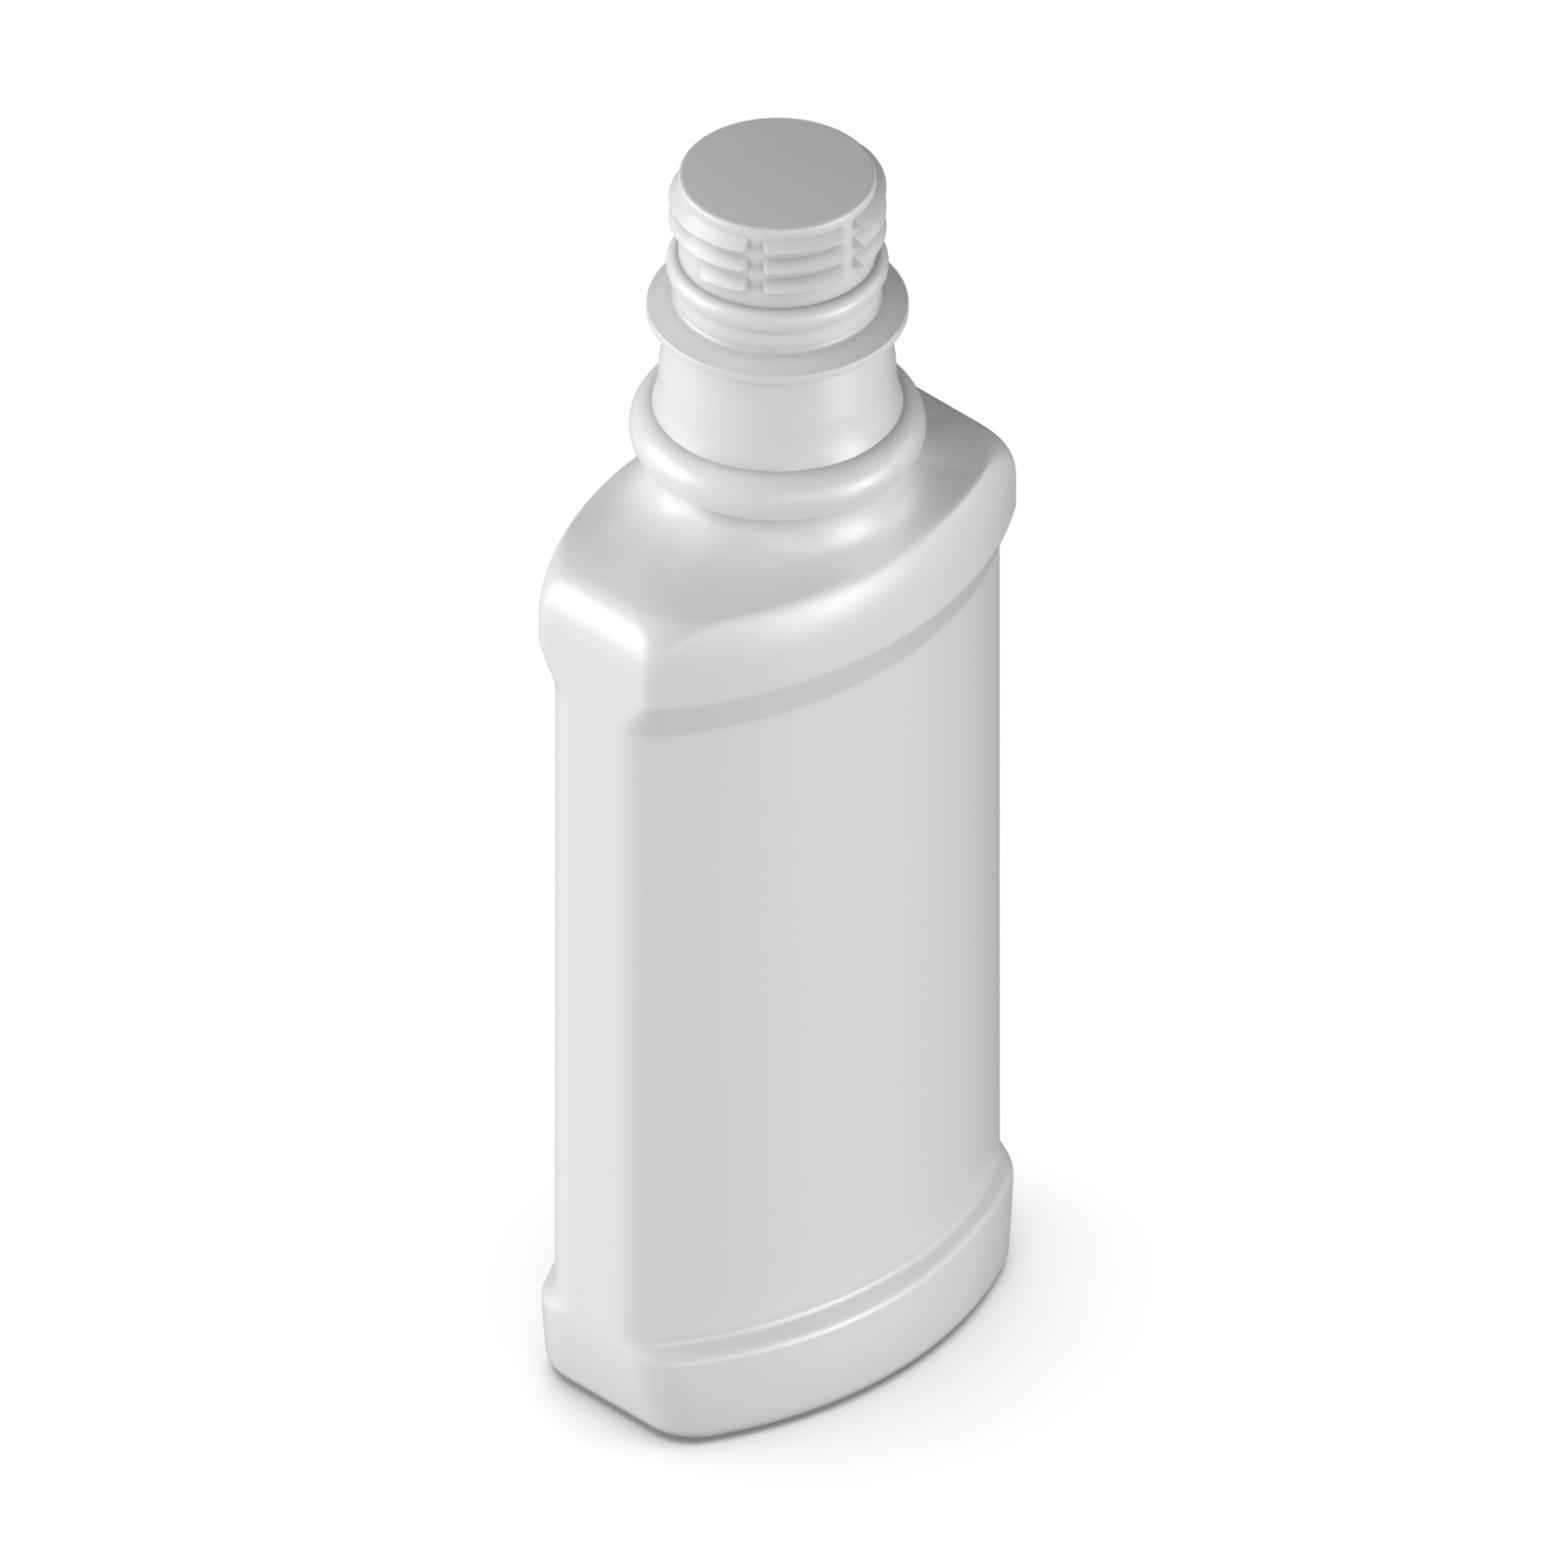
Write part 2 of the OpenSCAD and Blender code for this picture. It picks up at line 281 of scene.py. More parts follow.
def ledgeRings():
    # rounded top of the base, a straight slope, and a soft crease where the panel starts
    wallTop = body["baseHeight"] - body["ledgeHeight"]
    bulge = body["ledgeRound"]
    profile = []
    for t in steps(8, 1):
        angle = math.radians(body["ledgeTurn"]) * t
        profile.append((bulge * (1 - math.cos(angle)), wallTop + bulge * math.sin(angle)))
    crease = (body["recess"], body["baseHeight"])
    last = profile[-1]
    for t in steps(3, 1)[:-1]:
        profile.append([a + (b - a) * t * body["ledgeStraight"] for a, b in zip(last, crease)])
    bend = [profile[-1], crease, (crease[0], crease[1] + body["creaseSoft"])]
    profile += [quadratic(bend, t) for t in steps(5, 1)]
    rings = []
    for inset, height in profile:
        corner = body["baseCorner"] + (body["panelCorner"] - body["baseCorner"]) * inset / body["recess"]
        rings.append(bodyRing(tuckAt(height), inset, corner, height))
    return rings


def slopeRings():
    # slope from the recessed panel out to the upright band, softened at both ends
    low = (body["recess"], panelTop)
    high = (0.0, bandLow)
    length = math.dist(low, high)
    along = [(h - l) / length for l, h in zip(low, high)]
    soft = body["softEdge"]
    lowBend = [(low[0], low[1] - soft), low, (low[0] + along[0] * soft, low[1] + along[1] * soft)]
    highBend = [(high[0] - along[0] * soft, high[1] - along[1] * soft), high, (high[0], high[1] + soft)]
    profile = [quadratic(lowBend, t) for t in steps(6)] + [quadratic(highBend, t) for t in steps(6)]
    rings = []
    for inset, height in profile + [(0.0, bandTop)]:
        corner = body["bandCorner"] + (body["panelCorner"] - body["bandCorner"]) * inset / body["recess"]
        rings.append(bodyRing(0, inset, corner, height))
    return rings


def edgeRing(angle):
    # rounded edge of the shoulder, by the angle that it has turned
    inset = 1 - math.cos(angle)
    share = inset / (1 - math.sin(math.radians(body["shoulderCut"])))
    corner = body["bandCorner"] + (body["shoulderCorner"] - body["bandCorner"]) * share
    height = bandTop + body["roundHeight"] * math.sin(angle)
    return bodyRing(body["roundSide"] * inset, body["roundFace"] * inset, corner, height)


def flareRing(edge, before, t):
    # goes on at the slope where the edge ends, turns up and ends in the underside of the fat ring
    radius = neck["ringRadius"] + body["flareOut"]
    top = ringHeight - math.sqrt(neck["ringBead"] ** 2 - body["flareOut"] ** 2)
    ring = []
    for (x, y, z), (beforeX, beforeY, beforeZ) in zip(edge, before):
        reach = math.hypot(x, y)
        run = reach - radius
        slope = (z - beforeZ) / (math.hypot(beforeX, beforeY) - reach)
        facing = (y / reach) ** 2
        start = body["flareReachSide"] + (body["flareReachFace"] - body["flareReachSide"]) * facing
        bend = body["flareBend"] + (1 - body["flareBend"]) * facing
        turnHeight = z + start * run * slope
        curve = [(0, z), (start, turnHeight), (bend, turnHeight + body["flareRise"] * slope), (1, top)]
        inward, height = bezier(curve, t)
        k = 1 - run * inward / reach
        ring.append((x * k, y * k, height))
    return ring


def shoulderRings():
    last = math.radians(90 - body["shoulderCut"])
    rings = [edgeRing(last * t) for t in steps(14, 1)]
    edge = rings[-1]
    before = edgeRing(last - math.radians(1))  # one degree earlier, for the slope at the edge's end
    return rings + [flareRing(edge, before, t) for t in steps(26, 1)]


def neckProfile():
    # radius and height up the neck, from the underside of the fat ring to the rim
    bead = neck["ringBead"]
    start = -math.acos(body["flareOut"] / bead)
    end = math.radians(neck["ringEnd"])
    profile = []
    for t in steps(26, 1):
        angle = start + (end - start) * t
        profile.append((neck["ringRadius"] + bead * math.cos(angle), ringHeight + bead * math.sin(angle)))

    # curved foot and cone
    footLow = ringHeight + bead
    foot = [(neck["footRadius"], footLow - neck["footSink"])]
    foot += [(neck["coneLow"] + out, footLow + up * neck["footHeight"]) for out, up in neck["footBends"]]
    foot.append((neck["coneLow"], footLow + neck["footHeight"]))
    profile += [bezier(foot, t) for t in steps(10)]

    # flange
    flangeTop = sealTop - neck["flangeDrop"]
    edgeTop = flangeTop - neck["flangeSlope"]
    edgeLow = edgeTop - neck["flangeEdge"]
    cone, reach, root = neck["coneTop"], neck["flangeRadius"], neck["lowRadius"]
    under, soft, rootSoft = neck["underSoft"], neck["edgeSoft"], neck["rootSoft"]
    rise = neck["slopeRise"]
    underBend = [(cone, edgeLow - under), (cone, edgeLow), (cone + under, edgeLow)]
    lowBend = [(reach - soft, edgeLow), (reach, edgeLow), (reach, edgeLow + soft)]
    highBend = [(reach, edgeTop - soft), (reach, edgeTop), (reach - soft, edgeTop + soft * rise)]
    rootBend = [(root + rootSoft, flangeTop - rootSoft * rise), (root, flangeTop),
                (root, flangeTop + rootSoft)]
    profile += [quadratic(underBend, t) for t in steps(3)]
    for bend in (lowBend, highBend, rootBend):
        profile += [quadratic(bend, t) for t in steps(4)]

    # bead under the thread
    beadHeight = sealTop - neck["beadDrop"]
    for t in steps(16):
        angle = math.radians(-90 + 180 * t)
        wall = neck["lowRadius"] if angle < 0 else neck["wallRadius"]
        bulge = (neck["beadRadius"] - wall) * math.cos(angle)
        profile.append((wall + bulge, beadHeight + neck["beadHeight"] / 2 * math.sin(angle)))

    # the wall under the thread has low faces, because long ones leave slivers when the thread is fused
    lip = neck["lipIn"]
    lipTop = sealTop - neck["lipBelow"]
    wallLow = beadHeight + neck["beadHeight"] / 2
    wallHigh = lipTop - lip
    for t in steps(neck["wallSteps"], 1)[:-1]:
        profile.append((neck["wallRadius"], wallLow + (wallHigh - wallLow) * t))

    # lip round the film, and the pocket's edge that the film lies in
    inside = neck["wallRadius"] - lip
    for t in steps(8):
        angle = math.pi / 2 * t
        profile.append((inside + lip * math.cos(angle), lipTop - lip * (1 - math.sin(angle))))
    return profile + [(inside, sealUnder)]


def makeBottle():
    lower = underRings() + baseRings() + ledgeRings() + slopeRings() + shoulderRings()
    neckRings = [circleRing(lower[-1], radius, height) for radius, height in neckProfile()]
    points, faces = loftRings(lower + neckRings)
    return newObject("bottle_shell", points, faces)


bottle = makeBottle()
print("bottle moulded:", len(bottle.data.polygons), "faces")


# Thread: a ridge swept along a helix, cut through at the vent slots and fused with the neck
thread = {
    "crestRadius": 13.71,
    "crestFlat": 0.1,
    "pitch": 3.03,
    "turns": 2.6,
    "startDrop": 9.28,  # from the top of the seal down to the lower end of the crest
    "startDirection": 180.0,
    "below": 0.43,  # how far the ridge's foot reaches under and over its crest
    "above": 1.5,
    "sink": 0.4,
    "fade": 45.0,
    "fadeLeft": 0.12,
    "startSlant": 5.6,  # degrees by which the foot of the lower end starts before its crest
    "slantReach": 20.0,
    "underRim": 0.05,
    "merge": 0.03,  # slivers thinner than this are taken out of the fused mesh
    "slotWidth": 1.94,
    "slotCrestWidth": 3.8,
    "slotPair": 57.7,
    "slotDirection": 90.0,
    "pointsPerTurn": 144,
}


def makeTree(name, kind, inputs, outputs):
    tree = bpy.data.node_groups.new(name, kind)
    for label, form in inputs:
        tree.interface.new_socket(label, in_out="INPUT", socket_type="NodeSocket" + form)
    for label, form in outputs:
        tree.interface.new_socket(label, in_out="OUTPUT", socket_type="NodeSocket" + form)
    return tree


def addNode(tree, kind, inputs=None, **settings):
    node = tree.nodes.new(kind)
    for name, value in settings.items():
        setattr(node, name, value)
    for key, value in (inputs or {}).items():
        for each in value if isinstance(value, list) else [value]:
            if isinstance(each, bpy.types.NodeSocket):
                tree.links.new(each, node.inputs[key])
            else:
                node.inputs[key].default_value = each
    return node


def maths(tree, operation, first, second=0.0):
    return addNode(tree, "ShaderNodeMath", {0: first, 1: second}, operation=operation).outputs[0]


def vector(tree, x, y, z):
    return addNode(tree, "ShaderNodeCombineXYZ", {0: x, 1: y, 2: z}).outputs[0]


def wedgeCutters(tree, given):
    # the slot is narrow at the wall and wide at the crest, and comes in two opposite pairs
    cube = addNode(tree, "GeometryNodeMeshCube", {"Size": (1, 1, 1)})
    at = addNode(tree, "ShaderNodeSeparateXYZ", {0: addNode(tree, "GeometryNodeInputPosition").outputs[0]})
    depth = maths(tree, "SUBTRACT", given["Crest Radius"], given["Wall Radius"])

    # the cube's X runs from half the thread's depth inside the wall to one depth past the crest
    outward = maths(tree, "ADD", at.outputs["X"], 0.5)
    inner = maths(tree, "SUBTRACT", given["Wall Radius"], maths(tree, "MULTIPLY", depth, 0.5))
    span = maths(tree, "MULTIPLY", depth, 2.5)
    reach = maths(tree, "ADD", inner, maths(tree, "MULTIPLY", outward, span))

    # its Y widens with the distance from the wall
    extra = maths(tree, "SUBTRACT", given["Slot Crest Width"], given["Slot Width"])
    widening = maths(tree, "DIVIDE", extra, depth)
    overWall = maths(tree, "SUBTRACT", reach, given["Wall Radius"])
    width = maths(tree, "ADD", given["Slot Width"], maths(tree, "MULTIPLY", overWall, widening))

    # its Z is three pitches longer than the thread
    height = maths(tree, "MULTIPLY", given["Pitch"], maths(tree, "ADD", given["Turns"], 3))
    halfRise = maths(tree, "MULTIPLY", given["Pitch"], maths(tree, "MULTIPLY", given["Turns"], 0.5))
    middle = maths(tree, "ADD", given["Start Height"], halfRise)
    across = maths(tree, "MULTIPLY", at.outputs["Y"], width)
    level = maths(tree, "ADD", middle, maths(tree, "MULTIPLY", at.outputs["Z"], height))
    place = vector(tree, reach, across, level)
    wedge = addNode(tree, "GeometryNodeSetPosition", {"Geometry": cube.outputs["Mesh"], "Position": place})

    # four of them: one pair by the slot's direction, and the same pair half a turn on
    index = addNode(tree, "GeometryNodeInputIndex").outputs[0]
    opposite = maths(tree, "FLOOR", maths(tree, "DIVIDE", index, 2.0))
    second = maths(tree, "MODULO", index, 2.0)
    turn = maths(tree, "ADD", given["Slot Direction"], maths(tree, "MULTIPLY", opposite, math.pi))
    turn = maths(tree, "SUBTRACT", turn, maths(tree, "MULTIPLY", second, given["Slot Pair"]))
    points = addNode(tree, "GeometryNodePoints", {"Count": 4})
    rotation = addNode(tree, "FunctionNodeEulerToRotation", {0: vector(tree, 0.0, 0.0, turn)})
    slots = addNode(tree, "GeometryNodeInstanceOnPoints", {
        "Points": points.outputs[0], "Instance": wedge.outputs[0], "Rotation": rotation.outputs[0]})
    return slots.outputs[0]


def sweptRidge(tree, given):
    # helix at the wall, with the crest's height, then the ridge's section carried along it
    line = addNode(tree, "GeometryNodeCurvePrimitiveLine")
    line = addNode(tree, "GeometryNodeResampleCurve", {"Curve": line.outputs[0], "Count": given["Points"]})
    along = addNode(tree, "GeometryNodeSplineParameter").outputs["Factor"]
    turned = maths(tree, "MULTIPLY", along, given["Turns"])
    turn = maths(tree, "ADD", given["Start Direction"], maths(tree, "MULTIPLY", turned, 2 * math.pi))
    rise = maths(tree, "MULTIPLY", turned, given["Pitch"])
    place = vector(tree, maths(tree, "MULTIPLY", given["Wall Radius"], maths(tree, "COSINE", turn)),
                   maths(tree, "MULTIPLY", given["Wall Radius"], maths(tree, "SINE", turn)),
                   maths(tree, "ADD", given["Start Height"], rise))
    helix = addNode(tree, "GeometryNodeSetPosition", {"Geometry": line.outputs[0], "Position": place})
    helix = addNode(tree, "GeometryNodeSetCurveNormal", {"Curve": helix.outputs[0]}, mode="Z_UP")
    kept = addNode(tree, "GeometryNodeCaptureAttribute", {"Geometry": helix.outputs[0]})
    kept.capture_items.new("FLOAT", "Along")
    tree.links.new(along, kept.inputs["Along"])

    depth = maths(tree, "SUBTRACT", given["Crest Radius"], given["Wall Radius"])
    spread = maths(tree, "ADD", 1.0, maths(tree, "DIVIDE", given["Sink"], depth))
    inside = maths(tree, "MULTIPLY", given["Sink"], -1.0)
    halfCrest = maths(tree, "MULTIPLY", given["Crest Flat"], 0.5)
    below = maths(tree, "MULTIPLY", given["Below"], spread)
    above = maths(tree, "MULTIPLY", maths(tree, "MULTIPLY", given["Above"], spread), -1.0)
    section = addNode(tree, "GeometryNodeCurvePrimitiveQuadrilateral", {
        "Point 1": vector(tree, inside, below, 0.0),
        "Point 2": vector(tree, depth, halfCrest, 0.0),
        "Point 3": vector(tree, depth, maths(tree, "MULTIPLY", halfCrest, -1.0), 0.0),
        "Point 4": vector(tree, inside, above, 0.0)}, mode="POINTS")
    ridge = addNode(tree, "GeometryNodeCurveToMesh", {
        "Curve": kept.outputs["Geometry"], "Profile Curve": section.outputs[0], "Fill Caps": True})

    # the crest sinks towards the wall over the last part of the turn, and stays under the rim
    at = addNode(tree, "ShaderNodeSeparateXYZ", {0: addNode(tree, "GeometryNodeInputPosition").outputs[0]})
    fadeShare = maths(tree, "DIVIDE", given["Fade"], given["Turns"])
    fade = addNode(tree, "ShaderNodeMapRange", {
        "Value": kept.outputs["Along"],
        "From Min": maths(tree, "SUBTRACT", 1.0, fadeShare),
        "From Max": 1.0, "To Min": 1.0, "To Max": maths(tree, "DIVIDE", given["Fade Left"], depth)})
    squares = [maths(tree, "MULTIPLY", at.outputs[axis], at.outputs[axis]) for axis in "XY"]
    radius = maths(tree, "SQRT", maths(tree, "ADD", *squares))
    over = maths(tree, "SUBTRACT", radius, given["Wall Radius"])
    outside = maths(tree, "MULTIPLY", maths(tree, "MAXIMUM", over, 0.0), fade.outputs["Result"])
    faded = maths(tree, "ADD", outside, maths(tree, "MINIMUM", over, 0.0))
    lowered = maths(tree, "ADD", given["Wall Radius"], faded)
    scale = maths(tree, "DIVIDE", lowered, radius)
    place = vector(tree, maths(tree, "MULTIPLY", at.outputs["X"], scale),
                   maths(tree, "MULTIPLY", at.outputs["Y"], scale),
                   maths(tree, "MINIMUM", at.outputs["Z"], given["Height Limit"]))

    # the lower end slants back like the ends at the slots
    footShare = maths(tree, "SUBTRACT", 1.0, maths(tree, "DIVIDE", over, depth))
    travelled = maths(tree, "MULTIPLY", kept.outputs["Along"], given["Turns"])
    left = maths(tree, "SUBTRACT", 1.0, maths(tree, "DIVIDE", travelled, given["Slant Reach"]))
    slant = maths(tree, "MULTIPLY", footShare, maths(tree, "MAXIMUM", left, 0.0))
    slant = maths(tree, "MULTIPLY", slant, maths(tree, "MULTIPLY", given["Start Slant"], -1.0))
    slanted = addNode(tree, "ShaderNodeVectorRotate", {"Vector": place, "Angle": slant},
                      rotation_type="Z_AXIS")
    return addNode(tree, "GeometryNodeSetPosition", {
        "Geometry": ridge.outputs[0], "Position": slanted.outputs[0]}).outputs[0]


def makeThreadTree():
    sizes = ["Wall Radius", "Crest Radius", "Crest Flat", "Sink", "Below", "Above", "Pitch", "Turns",
             "Start Height", "Height Limit", "Start Direction", "Fade", "Fade Left", "Slot Width",
             "Slot Crest Width", "Slot Direction", "Slot Pair", "Start Slant", "Slant Reach", "Merge"]
    inputs = [("Geometry", "Geometry"), ("Material", "Material"), ("Points", "Int")]
    inputs += [(name, "Float") for name in sizes]
    tree = makeTree("screwThread", "GeometryNodeTree", inputs, [("Geometry", "Geometry")])
    given = addNode(tree, "NodeGroupInput").outputs
    cutters = addNode(tree, "GeometryNodeRealizeInstances", {0: wedgeCutters(tree, given)}).outputs[0]
    ridge = addNode(tree, "GeometryNodeMeshBoolean", {"Mesh 1": sweptRidge(tree, given), "Mesh 2": cutters},
                    operation="DIFFERENCE", solver="MANIFOLD")
    fused = addNode(tree, "GeometryNodeMeshBoolean", {"Mesh 2": [given["Geometry"], ridge.outputs[0]]},
                    operation="UNION", solver="MANIFOLD")
    clean = addNode(tree, "GeometryNodeMergeByDistance", {
        "Geometry": fused.outputs[0], "Distance": given["Merge"]})
    whole = addNode(tree, "GeometryNodeRealizeInstances", {0: clean.outputs[0]})
    done = addNode(tree, "GeometryNodeSetMaterial", {
        "Geometry": whole.outputs[0], "Material": given["Material"]})
    addNode(tree, "NodeGroupOutput", {0: done.outputs[0]})
    return tree


def settle(thing, modifier):
    # the modifier's result becomes the plain mesh
    evaluated = thing.evaluated_get(bpy.context.evaluated_depsgraph_get())
    mesh = bpy.data.meshes.new_from_object(evaluated)
    thing.modifiers.remove(modifier)
    thing.data = mesh


def weightNormals(thing):
    # shading follows the large faces, so the thin ones left by the fusing don't show
    modifier = thing.modifiers.new("weightedNormals", "WEIGHTED_NORMAL")
    modifier.mode = "FACE_AREA_WITH_ANGLE"
    modifier.keep_sharp = True
    settle(thing, modifier)


def applyTree(thing, tree, values):
    # inputs are set by identifier before the first evaluation
    modifier = thing.modifiers.new(tree.name, "NODES")
    modifier.node_group = tree
    for item in tree.interface.items_tree:
        if item.in_out == "INPUT" and item.name in values:
            modifier[item.identifier] = values[item.name]
    settle(thing, modifier)


# Surface detail that both finishes share: cloudy tone, painted shade in creases, uneven gloss and a fine
# grain
grain = {
    "cloudScale": 45.0,
    "cloudDetail": 3.0,
    "fineDetail": 2.0,
    "waveDetail": 1.0,
    "shadeSamples": 8,
}


def makeGrainGroup():
    sizes = ["Tone Change", "Roughness", "Gloss Change", "Grain Scale", "Grain Height", "Wave Scale",
             "Wave Height", "Painted Crease Shade", "Crease Reach"]
    inputs = [("Colour", "Color")] + [(name, "Float") for name in sizes]
    outputs = [("Colour", "Color"), ("Roughness", "Float"), ("Height", "Float")]
    tree = makeTree("mouldedSurface", "ShaderNodeTree", inputs, outputs)
    given = addNode(tree, "NodeGroupInput").outputs
    place = addNode(tree, "ShaderNodeTexCoord").outputs["Object"]

    def noise(scale, detail):
        node = addNode(tree, "ShaderNodeTexNoise", {"Vector": place, "Scale": scale, "Detail": detail})
        return node.outputs["Fac"]

    cloud = noise(grain["cloudScale"], grain["cloudDetail"])
    fine = noise(given["Grain Scale"], grain["fineDetail"])
    wave = noise(given["Wave Scale"], grain["waveDetail"])
    cloudy = maths(tree, "MULTIPLY", maths(tree, "SUBTRACT", cloud, 0.5), given["Tone Change"])
    # painted shade: the colour is darkened in creases, slots and joints, where less light reaches them
    openness = addNode(tree, "ShaderNodeAmbientOcclusion", {"Distance": given["Crease Reach"]},
                       samples=grain["shadeSamples"], only_local=True)
    closed = maths(tree, "SUBTRACT", 1.0, openness.outputs["AO"])
    shade = maths(tree, "SUBTRACT", 1.0, maths(tree, "MULTIPLY", closed, given["Painted Crease Shade"]))
    tone = maths(tree, "MULTIPLY", maths(tree, "ADD", 1.0, cloudy), shade)
    colour = addNode(tree, "ShaderNodeVectorMath", {0: given["Colour"], "Scale": tone}, operation="SCALE")
    uneven = maths(tree, "MULTIPLY", maths(tree, "SUBTRACT", fine, 0.5), given["Gloss Change"])
    gloss = maths(tree, "ADD", given["Roughness"], uneven)
    height = maths(tree, "ADD", maths(tree, "MULTIPLY", fine, given["Grain Height"]),
                   maths(tree, "MULTIPLY", wave, given["Wave Height"]))
    addNode(tree, "NodeGroupOutput", {"Colour": colour.outputs[0], "Roughness": gloss, "Height": height})
    return tree


grainGroup = makeGrainGroup()


def makeMaterial(name, finish):
    material = bpy.data.materials.new(name)
    material.use_nodes = True
    tree = material.node_tree
    shader = tree.nodes["Principled BSDF"]
    colour = (*finish["colour"], 1.0)
    material.diffuse_color = colour
    surface = addNode(tree, "ShaderNodeGroup", node_tree=grainGroup)
    values = {
        "Colour": colour,
        "Tone Change": finish["toneChange"],
        "Roughness": finish["roughness"],
        "Gloss Change": finish["glossChange"],
        "Grain Scale": finish["grainScale"],
        "Grain Height": finish["grainHeight"],
        "Wave Scale": finish["waveScale"],
        "Wave Height": finish["waveHeight"],
        "Painted Crease Shade": finish["paintedCreaseShade"],
        "Crease Reach": finish["creaseReach"] * mm,
    }
    for label, value in values.items():
        surface.inputs[label].default_value = value
    bump = addNode(tree, "ShaderNodeBump", {
        "Height": surface.outputs["Height"], "Distance": mm, "Strength": 1.0})
    tree.links.new(surface.outputs["Colour"], shader.inputs["Base Color"])
    tree.links.new(surface.outputs["Roughness"], shader.inputs["Roughness"])
    tree.links.new(bump.outputs["Normal"], shader.inputs["Normal"])
    shader.inputs["IOR"].default_value = finish["ior"]
    shader.inputs["Specular IOR Level"].default_value = finish["specular"]
    return material


bottlePlastic = {
    "colour": (0.72, 0.72, 0.72),
    "toneChange": 0.02,
    "roughness": 0.3,
    "glossChange": 0.05,
    "grainScale": 2500.0,
    "grainHeight": 0.004,
    "waveScale": 60.0,
    "waveHeight": 0.02,
    "paintedCreaseShade": 0.9,  # painted shade that darkens the slots and joints, where less light reaches
    "creaseReach": 2.2,
    "ior": 1.6,
    "specular": 0.7,
}

sealFilm = {
    "colour": (0.66, 0.66, 0.66),
    "toneChange": 0.03,
    "roughness": 0.55,
    "glossChange": 0.1,
    "grainScale": 4000.0,
    "grainHeight": 0.003,
    "waveScale": 200.0,
    "waveHeight": 0.01,
    "paintedCreaseShade": 0.0,
    "creaseReach": 1.0,
    "ior": 1.45,
    "specular": 0.12,
}

whitePlastic = makeMaterial("glossy white bottle plastic", bottlePlastic)
greyFilm = makeMaterial("grey sealing film", sealFilm)
print("finishes made")

# the ridge ends under the rounded rim
ridgeLimit = sealUnder - (neck["wallRadius"] - neck["sealRadius"]) - thread["underRim"]
applyTree(bottle, makeThreadTree(), {
    "Material": whitePlastic,
    "Points": int(thread["turns"] * thread["pointsPerTurn"]),
    "Wall Radius": neck["wallRadius"] * mm,
    "Crest Radius": thread["crestRadius"] * mm,
    "Crest Flat": thread["crestFlat"] * mm,
    "Sink": thread["sink"] * mm,
    "Below": thread["below"] * mm,
    "Above": thread["above"] * mm,
    "Pitch": thread["pitch"] * mm,
    "Turns": thread["turns"],
    "Start Height": (sealTop - thread["startDrop"]) * mm,
    "Height Limit": ridgeLimit * mm,
    "Start Direction": math.radians(thread["startDirection"]),
    "Fade": thread["fade"] / 360,
    "Fade Left": thread["fadeLeft"] * mm,
    "Slot Width": thread["slotWidth"] * mm,
    "Slot Crest Width": thread["slotCrestWidth"] * mm,
    "Slot Direction": math.radians(thread["slotDirection"]),
    "Slot Pair": math.radians(thread["slotPair"]),
    "Start Slant": math.radians(thread["startSlant"]),
    "Slant Reach": thread["slantReach"] / 360,
    "Merge": thread["merge"] * mm,
})
bottle.data.shade_smooth()
bottle.data.set_sharp_from_angle(angle=math.radians(body["sharpAngle"]))
weightNormals(bottle)
print("thread fused:", len(bottle.data.polygons), "faces")


# Seal: a disc of laminated film over the mouth, with a softly rounded edge
seal = {
    "edgeRound": 0.05,
    "gap": 0.01,
    "points": 160,
    "sharpAngle": 50.0,
}


def makeSeal():
    radius = neck["wallRadius"] - neck["lipIn"] - seal["gap"]
    soft = seal["edgeRound"]
    profile = [(radius - soft, sealUnder), (radius, sealUnder + soft / 2)]
    for t in steps(5):
        angle = math.pi / 2 * t
        profile.append((radius - soft + soft * math.cos(angle), sealTop - soft + soft * math.sin(angle)))
    rings = []
    for reach, height in profile:
        ring = []
        for i in range(seal["points"]):
            turn = 2 * math.pi * i / seal["points"]
            ring.append((reach * math.cos(turn), reach * math.sin(turn), height))
        rings.append(ring)
    points, faces = loftRings(rings)
    return newObject("mouth_film", points, faces)


film = makeSeal()
film.data.materials.append(greyFilm)
film.data.shade_smooth()
film.data.set_sharp_from_angle(angle=math.radians(seal["sharpAngle"]))
print("seal made")


# Floor: a wide pale sheet that the floor light turns white, and a small one just over it, which
# casts a shadow and so keeps light from the bottle's foot
floorSheet = {
    "reach": (3000.0, 3000.0),
    "below": -0.02,
    "nearReach": (58.0, 46.0),
    "colour": (0.65, 0.65, 0.65),
    "roughness": 0.9,
}


def makeFloorMaterial():
    material = bpy.data.materials.new("pale floor")
    material.use_nodes = True
    shader = material.node_tree.nodes["Principled BSDF"]
    shader.inputs["Base Color"].default_value = (*floorSheet["colour"], 1.0)
    shader.inputs["Roughness"].default_value = floorSheet["roughness"]
    shader.inputs["Specular IOR Level"].default_value = 0.0
    return material


def makeSheet(name, reach, height, material):
    x, y = reach
    corners = [(-x, -y, height), (x, -y, height), (x, y, height), (-x, y, height)]
    thing = newObject(name, corners, [(0, 1, 2, 3)])
    thing.data.materials.append(material)
    # neither sheet throws light back at the bottle
    thing.visible_diffuse = False
    thing.visible_glossy = False
    return thing


paleFloor = makeFloorMaterial()
floor = makeSheet("studio_floor", floorSheet["reach"], floorSheet["below"], paleFloor)
floor.visible_shadow = False
nearFloor = makeSheet("near_floor", floorSheet["nearReach"], 0.0, paleFloor)

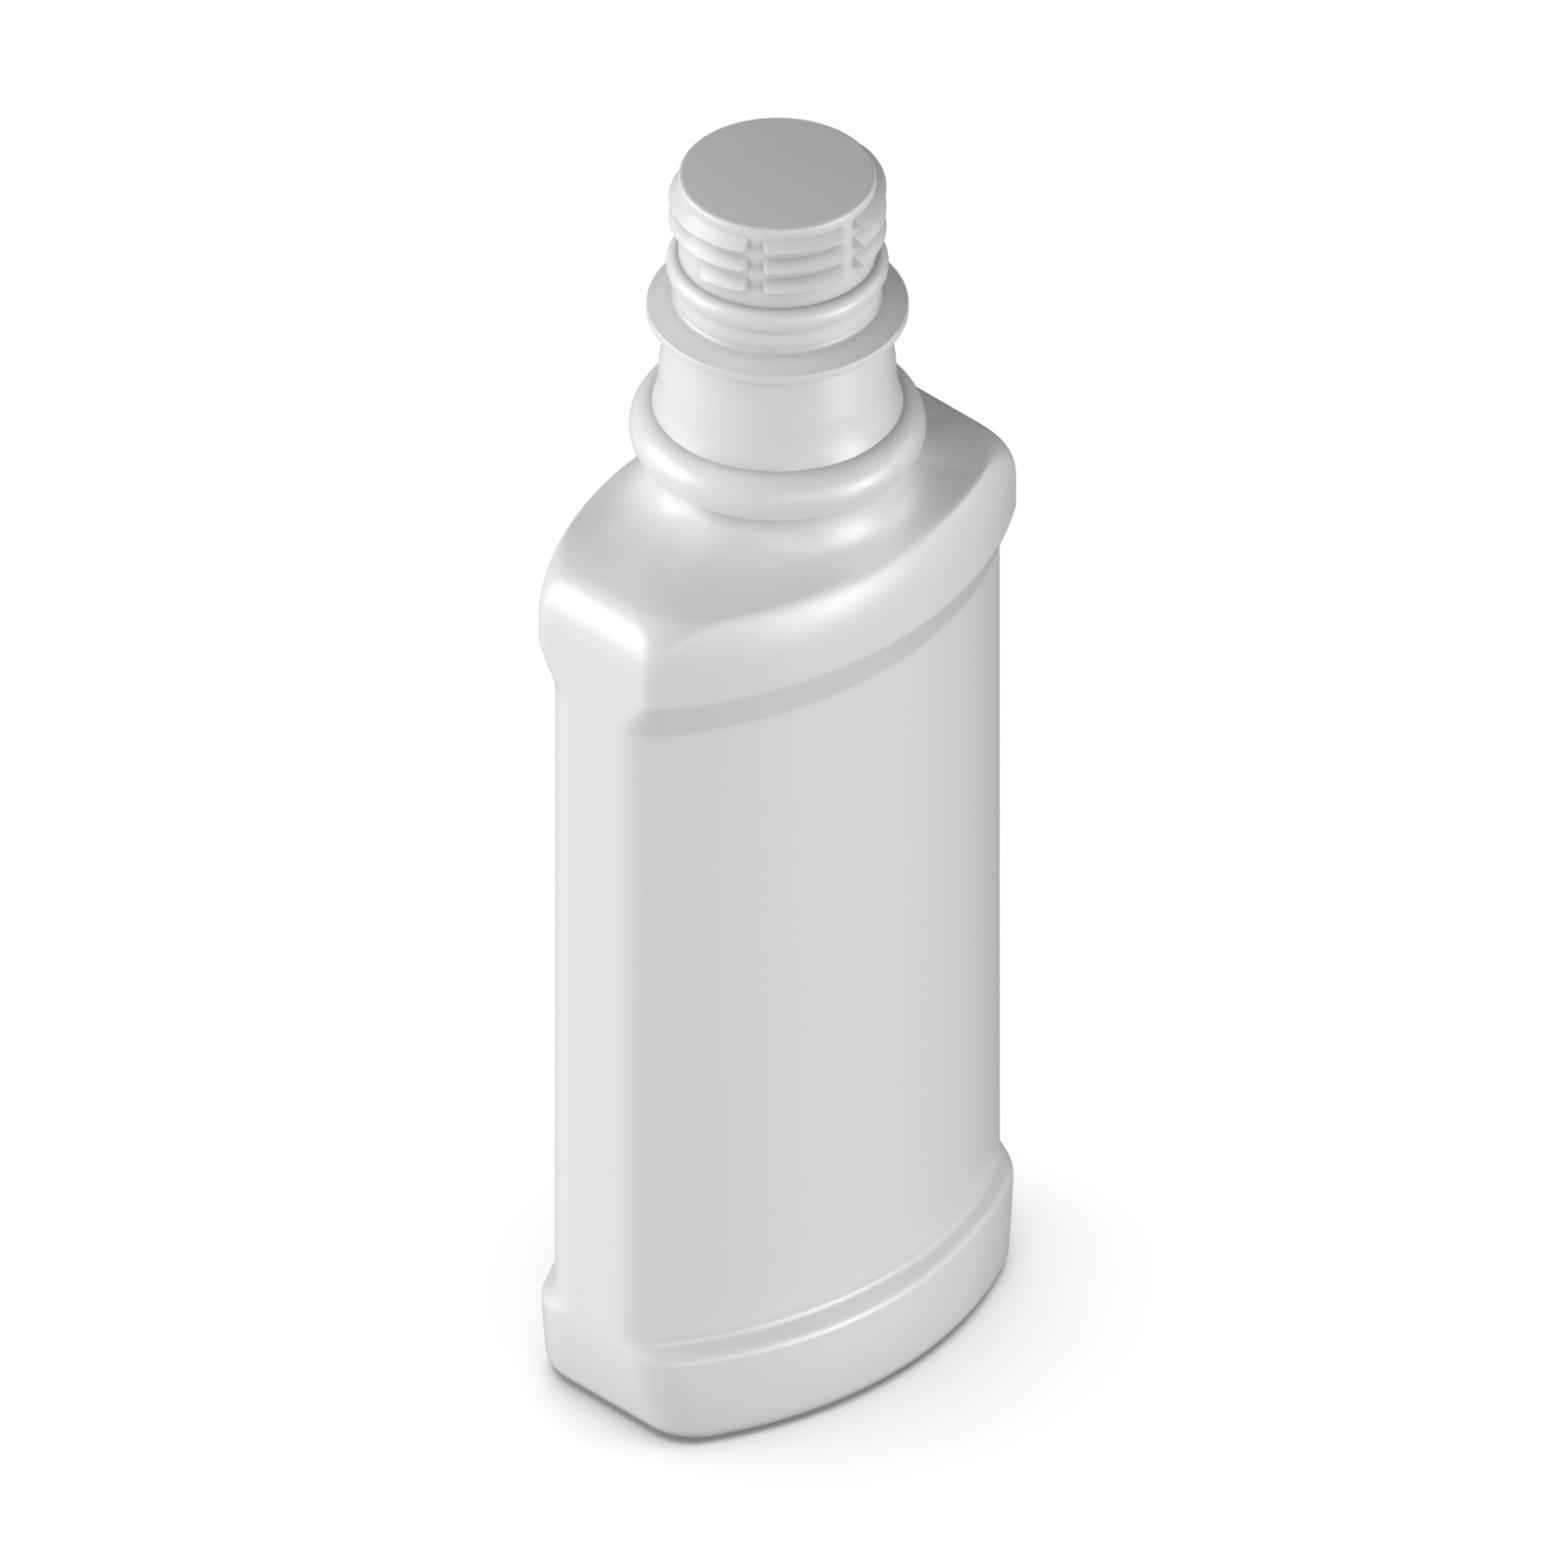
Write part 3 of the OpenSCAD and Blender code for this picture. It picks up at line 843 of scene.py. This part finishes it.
# Softboxes far enough off to light the bottle evenly from top to bottom. Round is counted from the
# front towards the right, up from the horizon, and size is the side of the square box.
softboxes = {
    "backLeft": {"round": -134, "up": 10, "size": 3.0, "watts": 83},
    "left": {"round": -115, "up": 15, "size": 2.0, "watts": 20},
    "highLeft": {"round": -120, "up": 60, "size": 3.0, "watts": 21},
    "frontLeft": {"round": -30, "up": 10, "size": 2.0, "watts": 17},
    "front": {"round": 10, "up": 5, "size": 2.2, "watts": 19},
    "frontLow": {"round": 15, "up": -8, "size": 2.0, "watts": 28},
    "frontUpper": {"round": 0, "up": 14, "size": 1.6, "watts": 7},
    "frontRight": {"round": 28, "up": 0, "size": 2.0, "watts": 32},
    "right": {"round": 60, "up": 10, "size": 2.0, "watts": 16},
    "highRight": {"round": 40, "up": 40, "size": 1.0, "watts": 5},
}

room = {
    "aim": (0, 0, 0.09),
    "distance": 4.0,
    # direction and strength of the walls' light
    "glows": [((0, -1, 0), 0.48), ((-0.707, 0.707, 0), 0.91)],
    "floorFill": {"height": 1.5, "size": 1.8, "watts": 50},
}


def addSoftbox(name, place, aim, size, watts):
    data = bpy.data.lights.new(name, "AREA")
    data.shape = "SQUARE"
    data.size = size
    data.energy = watts
    lamp = bpy.data.objects.new(name, data)
    bpy.context.scene.collection.objects.link(lamp)
    lamp.location = place
    lamp.rotation_euler = (aim - place).to_track_quat("-Z", "Y").to_euler()
    return lamp


def makeSoftboxes():
    # they shine on the product alone, so that the floor keeps no long shadows
    product = bpy.data.collections.new("litProduct")
    product.objects.link(bottle)
    product.objects.link(film)
    aim = Vector(room["aim"])
    for name, box in softboxes.items():
        turn = math.radians(box["round"])
        rise = math.radians(box["up"])
        back = Vector((math.sin(turn) * math.cos(rise), -math.cos(turn) * math.cos(rise), math.sin(rise)))
        lamp = addSoftbox(name + "Softbox", aim + back * room["distance"], aim, box["size"], box["watts"])
        lamp.light_linking.receiver_collection = product


def makeFloorLight():
    # shines on the floor alone, so that it turns white while the bottle keeps its shading
    fill = room["floorFill"]
    above = Vector((0, 0, fill["height"]))
    lamp = addSoftbox("floorLight", above, Vector((0, 0, 0)), fill["size"], fill["watts"])
    lit = bpy.data.collections.new("litFloor")
    lit.objects.link(floor)
    lit.objects.link(nearFloor)
    lamp.light_linking.receiver_collection = lit


def makeRoom():
    # the walls glow softly towards the front and the back left, and stay dark elsewhere
    world = bpy.data.worlds.new("studio")
    world.use_nodes = True
    tree = world.node_tree
    direction = addNode(tree, "ShaderNodeTexCoord").outputs["Generated"]
    strength = None
    for towards, level in room["glows"]:
        facing = addNode(tree, "ShaderNodeVectorMath", {0: direction, 1: towards}, operation="DOT_PRODUCT")
        glow = maths(tree, "MULTIPLY", maths(tree, "MAXIMUM", facing.outputs["Value"], 0.0), level)
        strength = glow if strength is None else maths(tree, "ADD", strength, glow)
    background = tree.nodes["Background"]
    background.inputs["Color"].default_value = (1, 1, 1, 1)
    tree.links.new(strength, background.inputs["Strength"])
    bpy.context.scene.world = world
    bpy.context.scene.view_settings.view_transform = "Standard"


makeSoftboxes()
makeFloorLight()
makeRoom()
print("studio lit")

for piece, node in ((bottle, "bottle"), (film, "mouth_seal")):
    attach(piece, "root")
    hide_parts(node)
